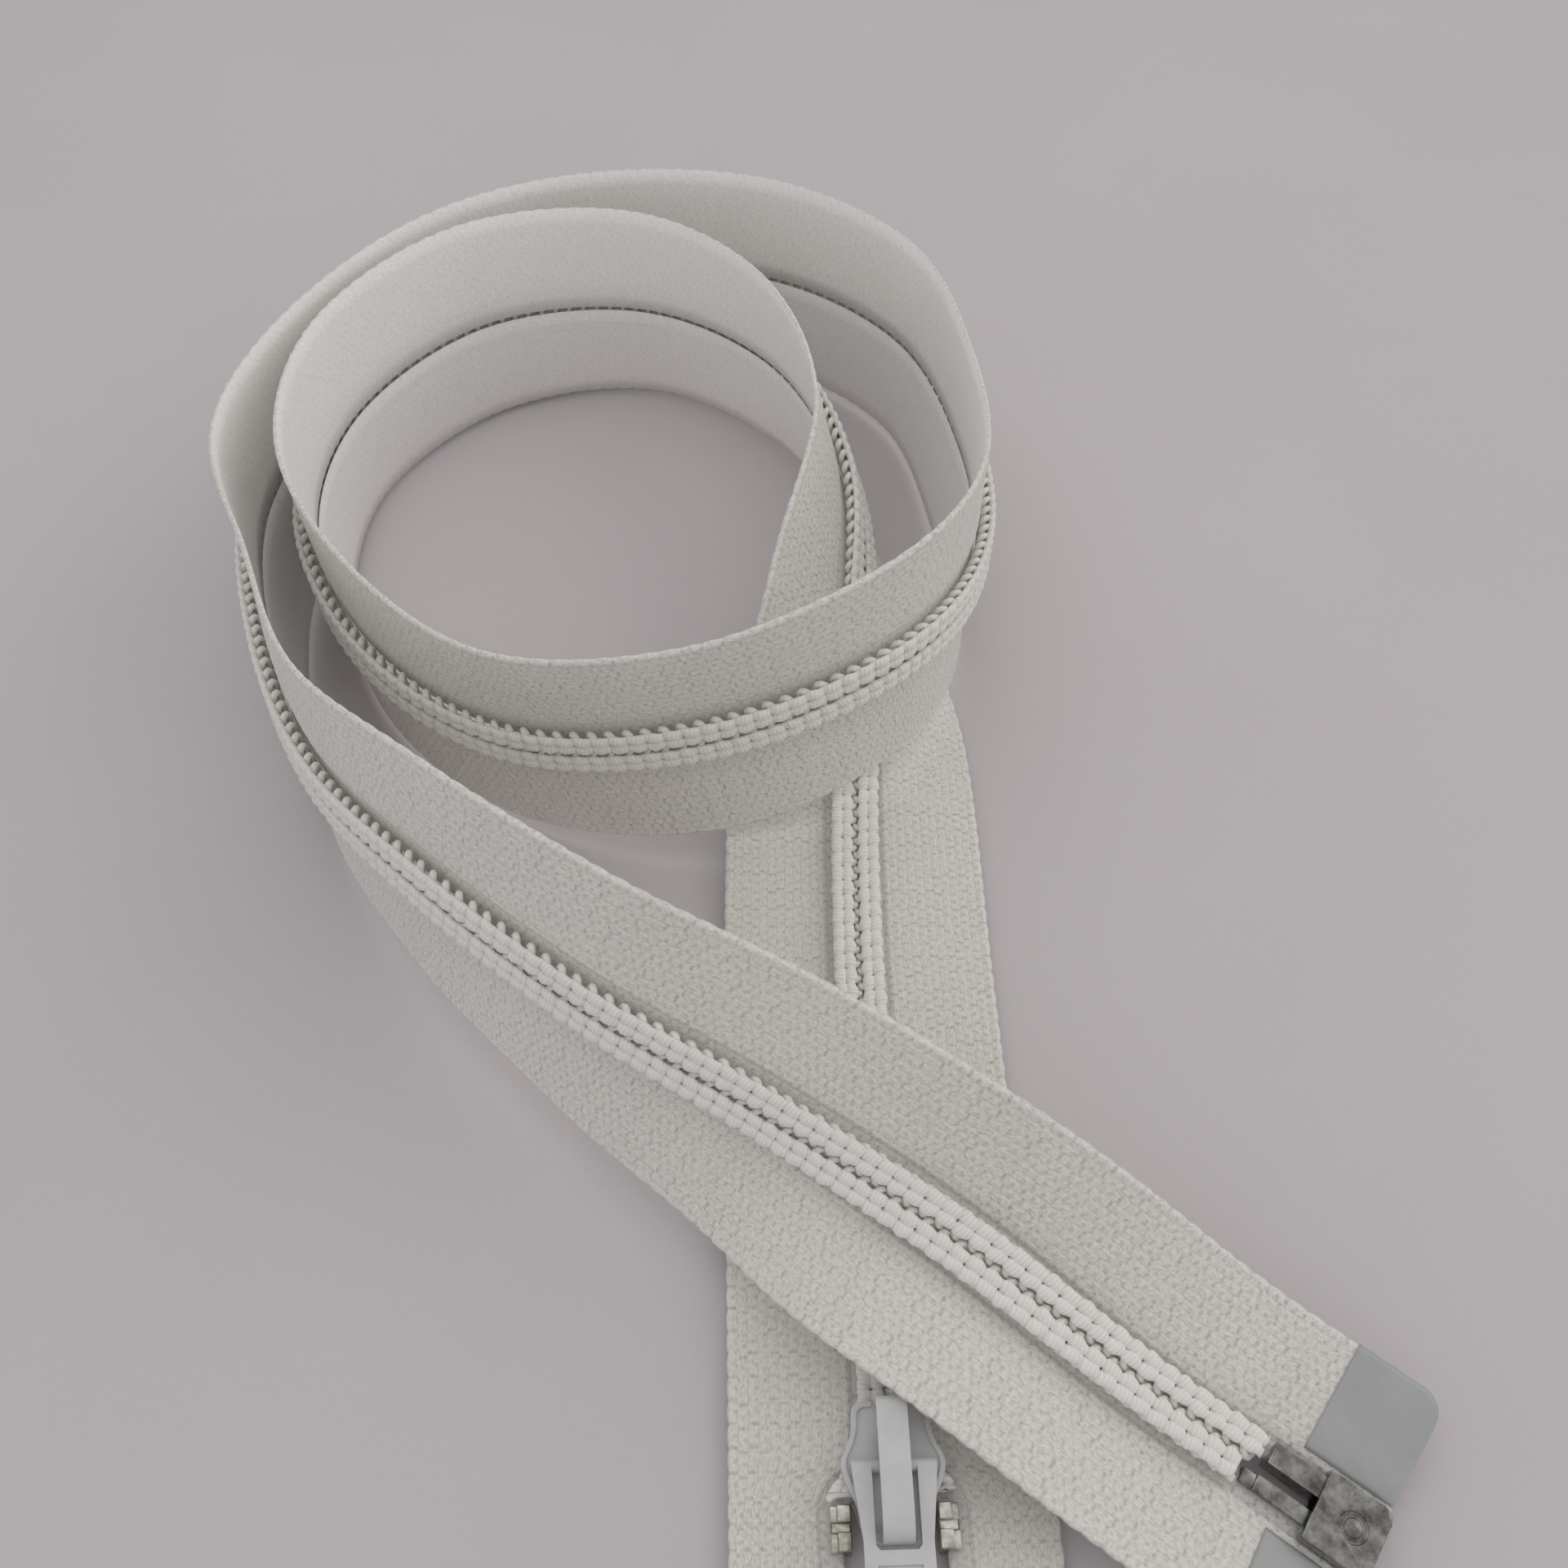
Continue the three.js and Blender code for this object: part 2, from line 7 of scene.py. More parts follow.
import bpy
import numpy as np
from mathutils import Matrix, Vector


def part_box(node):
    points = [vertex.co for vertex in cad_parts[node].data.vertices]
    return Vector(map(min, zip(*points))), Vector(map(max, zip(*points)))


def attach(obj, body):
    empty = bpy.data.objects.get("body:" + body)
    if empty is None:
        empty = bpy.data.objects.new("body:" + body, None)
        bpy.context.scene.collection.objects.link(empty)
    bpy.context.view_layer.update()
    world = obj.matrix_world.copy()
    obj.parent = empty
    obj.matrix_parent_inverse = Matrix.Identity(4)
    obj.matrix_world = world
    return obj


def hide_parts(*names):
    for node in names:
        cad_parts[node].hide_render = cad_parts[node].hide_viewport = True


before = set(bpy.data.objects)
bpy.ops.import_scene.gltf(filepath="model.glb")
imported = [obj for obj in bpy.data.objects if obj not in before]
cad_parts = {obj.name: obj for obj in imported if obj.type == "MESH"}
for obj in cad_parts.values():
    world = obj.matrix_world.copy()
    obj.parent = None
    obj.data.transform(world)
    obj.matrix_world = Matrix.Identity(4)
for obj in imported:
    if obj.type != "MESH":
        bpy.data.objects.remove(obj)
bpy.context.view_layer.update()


MM = 0.001
BODY = "chain_and_tapes"

# ---------------------------------------------------------------- sizes, as in the CAD

TAPE_HALF = 16.0
TAPE_GAP = 0.3               # chain centre to the tape's inner edge
HINGE = 3.3                  # the tape folds here, just outside the coil
SLIDER_AT = 26.5
STOP_FROM = SLIDER_AT - 6.6
STOP_LENGTH = 4.4
COIL_FROM = STOP_FROM + STOP_LENGTH + 0.4
SPREAD_FROM = SLIDER_AT + 3.2
SPREAD_TO = STOP_FROM + STOP_LENGTH
SPREAD = 3.7
CRIMP_INSET = 1.0
STRAIGHT_LENGTH = 84.0
STATION_GAP = 24.0
PIN_STRETCH = 15.0
BOX_LENGTH = 6.8
FILM_LENGTH = 9.6

# Centre of the tape's back face, its lean about the chain and the fold of each tape: the
# same list as in the CAD.
STATIONS = np.array([
    # x, y, z, lean, fold
    [11.5, 91, 1.3, 0, 0],
    [12, 115, 3.5, 10, 0],
    [13, 138, 11, 45, 0],
    [12, 161, 16, 75, 0],
    [3, 183, 17, 85, 0],
    [-16, 196, 17, 90, -5],
    [-39, 193, 17, 95, -5],
    [-55, 175, 17, 95, -5],
    [-58, 152, 17, 95, 0],
    [-48, 130, 17, 90, 0],
    [-29, 115, 18, 90, -5],
    [-5, 112, 22, 85, -10],
    [17, 121, 25, 85, -5],
    [28, 141, 20, 90, 0],
    [29, 165, 17, 95, 5],
    [22, 188, 17, 95, 0],
    [4, 203, 17, 95, 0],
    [-20, 206, 17, 95, 0],
    [-42, 197, 17, 100, 0],
    [-58, 178, 17, 100, 0],
    [-65, 155, 17, 100, 0],
    [-61, 132, 17, 90, 5],
    [-51, 110, 19, 85, 0],
    [-36, 92, 23, 75, 0],
    [-18, 77, 22, 65, 0],
    [1, 66, 17, 50, -5],
    [19, 54, 12, 25, -20],
    [38, 40, 4.5, 5, -15],
    [57, 26, 2, 0, -5],
])
LAST = len(STATIONS) - 1
LENGTH = STRAIGHT_LENGTH + STATION_GAP * LAST
PINS_FROM = LENGTH - PIN_STRETCH
BOX_FROM = LENGTH - BOX_LENGTH
RETAINER_LENGTH = 5.5
INSERTION_LENGTH = 7
PIN_GAP = 0.4                # between a pin and the end of its coil

# The slider's CAD box places the route in the frame.
slider_low, slider_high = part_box("slider_body")
SLIDER_X = (slider_low.x + slider_high.x) / 2 / MM
TAPE_TOP_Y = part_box("tape_left")[0].y / MM
SHIFT_X = SLIDER_X - STATIONS[0][0]
SHIFT_Y = TAPE_TOP_Y + STRAIGHT_LENGTH - STATIONS[0][1]


# ---------------------------------------------------------------- the route of the chain

def curve_values(distance):
    """Uniform Catmull-Rom through the stations, for an array of distances."""
    before = STATIONS[0] - [0, STATION_GAP, 0, 0, 0]
    after = 2 * STATIONS[LAST] - STATIONS[LAST - 1]
    points = np.vstack([before, STATIONS, after])
    place = np.clip((distance - STRAIGHT_LENGTH) / STATION_GAP, 0, LAST)
    index = np.minimum(place.astype(int), LAST - 1)
    t = (place - index)[:, None]
    a, b, c, d = (points[index + step] for step in range(4))
    bend = (2 * a - 5 * b + 4 * c - d) * t**2 + (3 * b - a - 3 * c + d) * t**3
    values = 0.5 * (2 * b + (c - a) * t + bend)
    values[:, 1] += np.minimum(distance - STRAIGHT_LENGTH, 0)
    return values


def route_values(distance):
    """The route with its straight stretch at the pins and the box."""
    values = curve_values(np.minimum(distance, PINS_FROM))
    before, start = curve_values(np.array([PINS_FROM - 1, PINS_FROM]))
    beyond = np.maximum(distance - PINS_FROM, 0)[:, None]
    values[:, :3] += (start - before)[:3] * beyond
    return values


def unit(vectors):
    return vectors / np.linalg.norm(vectors, axis=1, keepdims=True)


class Route:
    """Positions and directions of the chain at an array of distances."""

    def __init__(self, distance):
        distance = np.asarray(distance, float)
        values = route_values(distance)
        near = route_values(np.maximum(distance - 0.5, 0))[:, :3]
        far = route_values(np.minimum(distance + 0.5, LENGTH))[:, :3]
        self.along = unit(far - near)
        level = np.column_stack([-self.along[:, 1], self.along[:, 0], np.zeros(len(distance))])
        level = unit(level)
        raised = np.cross(self.along, level)
        lean = np.radians(values[:, 3:4])
        self.across = level * np.cos(lean) + raised * np.sin(lean)
        self.up = np.cross(self.along, self.across)
        self.origin = values[:, :3] + [SHIFT_X, SHIFT_Y, 0]
        self.fold = np.radians(values[:, 4])
        self.distance = distance

    def place(self, side, reach, rise):
        """Section points, one row per distance, on the left (1) or right (-1) half."""
        inside = np.minimum(reach, HINGE)
        outside = reach - inside
        cos = np.cos(self.fold)[:, None]
        sin = np.sin(self.fold)[:, None]
        folded = outside > 0
        sideways = inside + np.where(folded, outside * cos + rise * sin, 0)
        upward = np.where(folded, rise * cos - outside * sin, rise)
        return (
            self.origin[:, None, :]
            + side * sideways[:, :, None] * self.across[:, None, :]
            + upward[:, :, None] * self.up[:, None, :]
        )


def smooth(value):
    """Smoothstep of a value from 0 to 1."""
    value = np.clip(value, 0, 1)
    return value * value * (3 - 2 * value)


def spread_at(distance):
    """How far each half has moved off the chain's centre inside and above the slider."""
    return SPREAD * smooth((SPREAD_FROM - distance) / (SPREAD_FROM - SPREAD_TO))


# ---------------------------------------------------------------- mesh making

def mesh_object(name, points, faces, uvs=None, material_of=None, materials=()):
    """A smooth-shaded piece from millimetre points. uvs has one pair per face corner."""
    mesh = bpy.data.meshes.new(name)
    mesh.from_pydata((np.asarray(points) * MM).tolist(), [], faces)
    for material in materials:
        mesh.materials.append(material)
    if material_of is not None:
        mesh.polygons.foreach_set("material_index", material_of)
    if uvs is not None:
        layer = mesh.uv_layers.new(name="cloth")
        layer.data.foreach_set("uv", np.asarray(uvs, float).ravel())
    mesh.polygons.foreach_set("use_smooth", [True] * len(mesh.polygons))
    mesh.update()
    piece = bpy.data.objects.new(name, mesh)
    bpy.context.scene.collection.objects.link(piece)
    return piece


def skin(name, rings, flip, uv_around, uv_along, materials, material_around=None):
    """A closed tube through rings of points, capped at both ends.

    rings is (stations, points round, 3). uv_around has one value per column and edge
    (points round + 1) or the same for every station; uv_along has one per station.
    """
    count, size, _ = rings.shape
    base = np.arange(count - 1)[:, None] * size
    here = np.arange(size)[None, :]
    after = (here + 1) % size
    quads = np.stack([base + here, base + after, base + after + size, base + here + size], axis=-1)
    uv_around = np.broadcast_to(uv_around, (count, size + 1))
    corner = np.empty((count - 1, size, 4, 2))
    corner[:, :, 0, 0] = uv_around[:-1, :-1]
    corner[:, :, 1, 0] = uv_around[:-1, 1:]
    corner[:, :, 2, 0] = uv_around[1:, 1:]
    corner[:, :, 3, 0] = uv_around[1:, :-1]
    corner[:, :, 0:2, 1] = uv_along[:-1, None, None]
    corner[:, :, 2:4, 1] = uv_along[1:, None, None]
    quads = quads.reshape(-1, 4)
    corner = corner.reshape(-1, 4, 2)
    if flip:
        quads = quads[:, ::-1]
        corner = corner[:, ::-1]
    faces = quads.tolist()
    start_cap = list(range(size))
    end_cap = [(count - 1) * size + i for i in range(size)]
    faces += [start_cap, end_cap[::-1]] if flip else [start_cap[::-1], end_cap]
    cap_uv = [[0.0, 0.0]] * (2 * size)
    uvs = np.vstack([corner.reshape(-1, 2), cap_uv])
    material_of = None
    if material_around is not None:
        material_of = np.tile(material_around, count - 1).tolist() + [0, 0]
    return mesh_object(name, rings.reshape(-1, 3), faces, uvs, material_of, materials)


def tube(name, path, sideways, upward, width, height, flip, uv_along, material, sides=8):
    """A tube of elliptical section along a path of points with its own directions."""
    angle = np.arange(sides) * 2 * math.pi / sides
    width = np.broadcast_to(width, len(path))[:, None, None]
    height = np.broadcast_to(height, len(path))[:, None, None]
    rings = (
        path[:, None, :]
        + width * np.cos(angle)[None, :, None] * sideways[:, None, :]
        + height * np.sin(angle)[None, :, None] * upward[:, None, :]
    )
    around = np.arange(sides + 1) / sides
    return skin(name, rings, flip, around, uv_along, [material])


# ---------------------------------------------------------------- material helpers

class Nodes:
    """A short way to write a node tree."""

    def __init__(self, name):
        self.material = bpy.data.materials.new(name)
        self.material.use_nodes = True
        self.tree = self.material.node_tree
        self.shader = self.tree.nodes["Principled BSDF"]

    def add(self, kind, **settings):
        node = self.tree.nodes.new("ShaderNode" + kind)
        for key, value in settings.items():
            setattr(node, key, value)
        return node

    def link(self, source, target):
        self.tree.links.new(source, target)

    def set(self, **values):
        """Uniform values, on the shader's own sockets."""
        for key, value in values.items():
            self.shader.inputs[key.replace("_", " ")].default_value = value

    def math(self, operation, first, second=0.0):
        node = self.add("Math", operation=operation)
        for socket, value in zip(node.inputs, (first, second)):
            if isinstance(value, (int, float)):
                socket.default_value = value
            else:
                self.link(value, socket)
        return node.outputs[0]

    def cloth(self, across=1.0, along=1.0):
        """The piece's own across and along coordinates."""
        uv = self.add("UVMap", uv_map="cloth")
        scale = self.add("Mapping")
        scale.inputs["Scale"].default_value = (across, along, 1)
        self.link(uv.outputs["UV"], scale.inputs["Vector"])
        return scale.outputs["Vector"]

    def place(self, scale=1.0):
        """Object coordinates, in units of 1 / scale metres."""
        coordinate = self.add("TexCoord")
        mapping = self.add("Mapping")
        mapping.inputs["Scale"].default_value = (scale, scale, scale)
        self.link(coordinate.outputs["Object"], mapping.inputs["Vector"])
        return mapping.outputs["Vector"]

    def noise(self, vector, scale, detail=3.0, roughness=0.55):
        node = self.add("TexNoise")
        node.inputs["Scale"].default_value = scale
        node.inputs["Detail"].default_value = detail
        node.inputs["Roughness"].default_value = roughness
        self.link(vector, node.inputs["Vector"])
        return node.outputs["Fac"]

    def soft_step(self, value, start, end):
        """0 before start, 1 beyond end and smooth between; end may be the lower one."""
        node = self.add("MapRange", interpolation_type="SMOOTHSTEP")
        node.inputs["From Min"].default_value = start
        node.inputs["From Max"].default_value = end
        self.link(value, node.inputs["Value"])
        return node.outputs["Result"]

    def ramp(self, value, *stops):
        """A colour ramp from (position, colour) stops."""
        node = self.add("ValToRGB")
        elements = node.color_ramp.elements
        while len(elements) < len(stops):
            elements.new(0.5)
        for element, (position, colour) in zip(elements, stops):
            element.position = position
            element.color = (*colour, 1)
        self.link(value, node.inputs["Fac"])
        return node.outputs["Color"]

    def mix(self, factor, first, second, blend="MIX"):
        node = self.add("Mix", data_type="RGBA", blend_type=blend)
        if isinstance(factor, (int, float)):
            node.inputs["Factor"].default_value = factor
        else:
            self.link(factor, node.inputs["Factor"])
        for socket, value in ((node.inputs[6], first), (node.inputs[7], second)):
            if isinstance(value, tuple):
                socket.default_value = (*value, 1)
            else:
                self.link(value, socket)
        return node.outputs[2]

    def bump(self, height, distance, strength=1.0, normal=None):
        node = self.add("Bump")
        node.inputs["Distance"].default_value = distance * MM
        node.inputs["Strength"].default_value = strength
        self.link(height, node.inputs["Height"])
        if normal is not None:
            self.link(normal, node.inputs["Normal"])
        return node.outputs["Normal"]


# ---------------------------------------------------------------- fabric materials

FLOAT_LENGTH = 2.3           # of one warp float of the tape's weave
COLUMNS = 15                 # warp columns across one tape
STAGGER = 0.2                # of a float, from each column to the next


def fabric_steps(n, along_shift):
    """Place across the column (0 to 1) and along the float (whole numbers at its ends)."""
    split = n.add("SeparateXYZ")
    n.link(n.cloth(), split.inputs[0])
    column = n.math("FLOOR", split.outputs["X"])
    odd = n.math("PINGPONG", column, 1.0)
    row = n.math("ADD", split.outputs["Y"], n.math("MULTIPLY", odd, STAGGER))
    return n.math("FRACT", split.outputs["X"]), n.math("ADD", row, along_shift)


def woven(name, light, dark, dash, depth):
    """Warp columns whose floats end in short dashes of painted shade; each float is two fuzzy plies."""
    n = Nodes(name)
    wander = n.math("MULTIPLY", n.math("SUBTRACT", n.noise(n.cloth(1.7, 0.9), 1.0, 1.0), 0.5), 0.16)
    across, along = fabric_steps(n, wander)
    to_edge = n.math("PINGPONG", across, 0.5)
    inside = n.soft_step(to_edge, 0.02, 0.16)
    end = n.soft_step(n.math("PINGPONG", along, 0.5), 0.10, 0.015)
    uneven = n.soft_step(n.noise(n.cloth(0.9, 0.8), 1.0, 2.0), 0.30, 0.60)
    dashes = n.math("MULTIPLY", n.math("MULTIPLY", end, inside), uneven)
    middle = n.soft_step(n.math("PINGPONG", n.math("ADD", along, 0.5), 0.5), 0.12, 0.02)
    half = n.math("MULTIPLY", middle, n.soft_step(across, 0.62, 0.36))
    rib = n.soft_step(to_edge, 0.14, 0.0)
    plies = n.noise(n.cloth(4.2, 4.6), 1.0, 3.0, 0.6)
    fuzz = n.noise(n.place(1500), 1.0, 3.0, 0.7)
    patches = n.noise(n.place(60), 1.0, 4.0)
    # Painted shade: the dashes at the float ends, the darker half at mid-float and the darker column
    # edges (rib) stand for shade in the weave's dips and grooves; plies, fuzz and patches are random
    # tone.
    shade = n.math("MULTIPLY", dashes, dash)
    shade = n.math("ADD", shade, n.math("MULTIPLY", half, dash * 0.45))
    shade = n.math("ADD", shade, n.math("MULTIPLY", rib, dash * 0.4))
    shade = n.math("ADD", shade, n.math("MULTIPLY", n.math("SUBTRACT", 0.60, plies), 1.9))
    shade = n.math("ADD", shade, n.math("MULTIPLY", n.math("SUBTRACT", 0.5, fuzz), 0.5))
    shade = n.math("ADD", shade, n.math("MULTIPLY", n.math("SUBTRACT", 0.5, patches), 0.30))
    colour = n.ramp(shade, (0.0, light), (1.0, dark))
    n.link(colour, n.shader.inputs["Base Color"])
    height = n.math("SUBTRACT", n.math("MULTIPLY", plies, 1.4), n.math("ADD", dashes, half))
    coarse = n.bump(height, depth, 0.8)
    n.link(n.bump(fuzz, 0.06, 0.6, coarse), n.shader.inputs["Normal"])
    n.link(n.math("ADD", 0.8, n.math("MULTIPLY", fuzz, 0.15)), n.shader.inputs["Roughness"])
    n.set(Sheen_Weight=0.2, Sheen_Roughness=0.5, Specular_IOR_Level=0.25)
    n.set(Subsurface_Weight=0.35, Subsurface_Scale=0.0008, Subsurface_Radius=(1, 1, 1))
    return n.material


def twisted(name, light, dark, twist, roughness):
    """Spun yarn: strands wind round the piece, with painted shade in the darker bands between them."""
    n = Nodes(name)
    strands = n.add("TexWave", wave_type="BANDS", bands_direction="DIAGONAL")
    strands.inputs["Scale"].default_value = 1.0
    strands.inputs["Distortion"].default_value = 1.2
    strands.inputs["Detail"].default_value = 2.0
    n.link(n.cloth(1.0, twist), strands.inputs["Vector"])
    fuzz = n.noise(n.place(1400), 1.0, 3.0, 0.7)
    # Painted shade: the dark part of each strand band darkens the grooves between strands.
    shade = n.math("MULTIPLY", strands.outputs["Fac"], 0.6)
    colour = n.ramp(n.math("ADD", shade, n.math("MULTIPLY", fuzz, 0.4)), (0.0, dark), (1.0, light))
    n.link(colour, n.shader.inputs["Base Color"])
    n.link(n.bump(strands.outputs["Fac"], 0.08, 0.8), n.shader.inputs["Normal"])
    n.link(n.math("ADD", roughness, n.math("MULTIPLY", fuzz, 0.2)), n.shader.inputs["Roughness"])
    n.set(Sheen_Weight=0.2, Specular_IOR_Level=0.35)
    return n.material


def nylon(name, colour, shaded):
    """Drawn monofilament: milky, with faint lengthwise lines."""
    n = Nodes(name)
    lines = n.noise(n.cloth(24, 0.6), 1.0, 2.0)
    patches = n.noise(n.place(300), 1.0, 3.0)
    n.link(n.ramp(patches, (0.3, shaded), (0.7, colour)), n.shader.inputs["Base Color"])
    n.link(n.bump(lines, 0.02, 0.6), n.shader.inputs["Normal"])
    n.link(n.math("ADD", 0.28, n.math("MULTIPLY", patches, 0.2)), n.shader.inputs["Roughness"])
    n.set(Subsurface_Weight=0.4, Subsurface_Scale=0.0008, Subsurface_Radius=(1, 1, 1))
    n.set(Coat_Weight=0.1)
    return n.material


def film(name):
    """Plastic film pressed into the weave, slightly see-through."""
    n = Nodes(name)
    patches = n.noise(n.place(160), 1.0, 4.0)
    weave = n.noise(n.cloth(1.6, 1.2), 1.0, 2.0)
    colour = n.ramp(patches, (0.3, (0.42, 0.425, 0.425)), (0.7, (0.47, 0.475, 0.475)))
    n.link(colour, n.shader.inputs["Base Color"])
    n.link(n.bump(weave, 0.06, 0.5), n.shader.inputs["Normal"])
    n.link(n.math("ADD", 0.32, n.math("MULTIPLY", patches, 0.2)), n.shader.inputs["Roughness"])
    n.set(Coat_Weight=0.2, Coat_Roughness=0.25, Alpha=0.93)
    return n.material


# ---------------------------------------------------------------- metal materials

def lacquer(name, light, worn):
    """Sprayed lacquer: fine orange peel, thinner and greyer in places."""
    n = Nodes(name)
    peel = n.noise(n.place(1500), 1.0, 2.0)
    patches = n.noise(n.place(220), 1.0, 4.0, 0.6)
    specks = n.noise(n.place(2600), 1.0, 1.0)
    colour = n.ramp(patches, (0.25, worn), (0.6, light))
    dirt = n.math("GREATER_THAN", specks, 0.74)
    n.link(n.mix(n.math("MULTIPLY", dirt, 0.35), colour, worn), n.shader.inputs["Base Color"])
    n.link(n.bump(peel, 0.02, 0.5), n.shader.inputs["Normal"])
    n.link(n.math("ADD", 0.3, n.math("MULTIPLY", patches, 0.18)), n.shader.inputs["Roughness"])
    n.set(Coat_Weight=0.35, Coat_Roughness=0.18, Specular_IOR_Level=0.5)
    return n.material


def plated(name, bright, tarnish_and_dark_reflection, roughness):
    """Plated metal with fine scratches and soft dents; its darker patches are partly brown tarnish and
    partly painted dark reflection.
    """
    n = Nodes(name)
    patches = n.noise(n.place(420), 1.0, 5.0, 0.65)
    scratches = n.noise(n.place(2400), 1.0, 2.0, 0.8)
    dents = n.noise(n.place(260), 1.0, 2.0)
    # Painted reflection: the patch ramp mixes brown tarnish with dark reflection painted into the
    # colour.
    n.link(n.ramp(patches, (0.35, tarnish_and_dark_reflection), (0.6, bright)), n.shader.inputs["Base Color"])
    first = n.bump(dents, 0.25, 0.6)
    n.link(n.bump(scratches, 0.015, 0.5, first), n.shader.inputs["Normal"])
    rough = n.math("ADD", roughness, n.math("MULTIPLY", scratches, 0.25))
    n.link(rough, n.shader.inputs["Roughness"])
    n.set(Metallic=1.0)
    return n.material


TAPE_FRONT = woven("tape_front", (0.83, 0.81, 0.765), (0.50, 0.475, 0.44), 0.42, 0.10)
# The back shares the front's white cloth; its lighter colours are painted light that brightens the
# shaded insides of the loops.
TAPE_BACK = woven("tape_back", (0.93, 0.91, 0.885), (0.74, 0.72, 0.695), 0.15, 0.05)
COIL_NYLON = nylon("coil_nylon", (0.90, 0.88, 0.83), (0.84, 0.82, 0.77))
THREAD = twisted("sewing_thread", (0.93, 0.915, 0.87), (0.80, 0.785, 0.74), 1.3, 0.6)
CORD = twisted("core_cord", (0.88, 0.865, 0.82), (0.76, 0.745, 0.70), 0.8, 0.7)
FILM = film("tape_film")
LACQUER = lacquer("white_lacquer", (0.62, 0.615, 0.61), (0.53, 0.53, 0.53))
# The nickel's low base colours are painted dark reflection, standing in for the dim room the plating
# mirrors.
NICKEL = plated("nickel_plating", (0.40, 0.395, 0.375), (0.12, 0.11, 0.095), 0.14)
STOP_METAL = plated("stop_metal", (0.62, 0.6, 0.55), (0.24, 0.22, 0.18), 0.18)
STEEL = plated("spring_steel", (0.3, 0.3, 0.31), (0.18, 0.17, 0.17), 0.3)


# ---------------------------------------------------------------- woven tapes

TAPE_STEP = FLOAT_LENGTH / 4
END_STEP = 0.2
CORNER_RADIUS = 2.6
WEB_RISE = 0.26              # top of the thinner web under and beside the coil
MARGIN_RISE = 0.50           # top of the sewing margin
GROOVE_TO = 3.9              # the web ends this far from the chain's centre
LIP_WIDTH = 0.45             # of the step from the web up to the margin
SERRATION = 0.17             # how far each float bulges past the outer edge
SELVEDGE = 0.07              # height of the firm ridge along the outer edge
EDGE_ROUND = 0.12            # the top drops by this at both edges


def tape_distances():
    """Stations along a tape, aligned with its floats and close together at the far end."""
    main = np.arange(0, LENGTH - CORNER_RADIUS, TAPE_STEP)
    end = np.arange(LENGTH - CORNER_RADIUS, LENGTH, END_STEP)
    return np.concatenate([main, end, [LENGTH]])


def outer_reach(distance, radius=CORNER_RADIUS, half=TAPE_HALF):
    """The outer edge, with its rounded bottom corner."""
    into = np.clip(distance - (LENGTH - radius), 0, radius)
    return half - (radius - np.sqrt(np.maximum(radius**2 - into**2, 0)))


def inner_reach(distance):
    crimped = (distance < SPREAD_TO + 0.1) | (distance > PINS_FROM + 1)
    return TAPE_GAP + spread_at(distance) + np.where(crimped, CRIMP_INSET, 0)


def weave_relief(column, row):
    """Height of the warp floats, in millimetres: rounded columns that dip at float ends."""
    staggered = row + STAGGER * (np.floor(column) % 2)
    inside = 2 * (column % 1) - 1
    to_end = np.abs((staggered + 0.5) % 1 - 0.5)
    return 0.05 * (1 - inside**2) + 0.05 * smooth(to_end / 0.22)


def make_tape(name, side):
    distance = tape_distances()
    route = Route(distance)
    steps = 4 * COLUMNS
    share = np.arange(steps + 1) / steps
    inner = inner_reach(distance)[:, None]
    outer = outer_reach(distance)[:, None]
    row = (distance / FLOAT_LENGTH)[:, None]
    serration = SERRATION * np.abs(np.sin(math.pi * row)) ** 0.7
    reach = inner + (outer - inner) * share[None, :]
    column = share[None, :] * COLUMNS
    lip = smooth((reach - spread_at(distance)[:, None] - GROOVE_TO + LIP_WIDTH) / LIP_WIDTH)
    web = WEB_RISE + (MARGIN_RISE - WEB_RISE) * lip
    selvedge = SELVEDGE * np.exp(-(((reach - (outer - 0.5)) / 0.3) ** 2))
    top = web + selvedge + weave_relief(column, row) * (0.2 + 0.8 * lip)
    top[:, [0, -1]] -= EDGE_ROUND
    top_reach = reach.copy()
    top_reach[:, -1:] += serration - 0.1
    below_share = np.linspace(1, 0, 8)
    below_reach = inner + (outer - inner) * below_share[None, :]
    below = np.zeros_like(below_reach)
    below[:, [0, -1]] = 0.1
    below_reach[:, :1] += serration - 0.1
    reach_all = np.hstack([below_reach[:, ::-1], top_reach[:, ::-1]])
    rise_all = np.hstack([below[:, ::-1], top[:, ::-1]])
    rings = route.place(side, reach_all, rise_all)
    column_below = below_share[::-1] * COLUMNS
    column_top = share[::-1] * COLUMNS
    around = np.concatenate([column_below, column_top, column_below[:1]])
    size = rings.shape[1]
    front = np.zeros(size, int)
    front[:len(column_below) - 1] = 1
    front[-1] = 1
    cloth = [TAPE_FRONT, TAPE_BACK]
    return skin(name, rings, side < 0, around, distance / FLOAT_LENGTH, cloth, front)


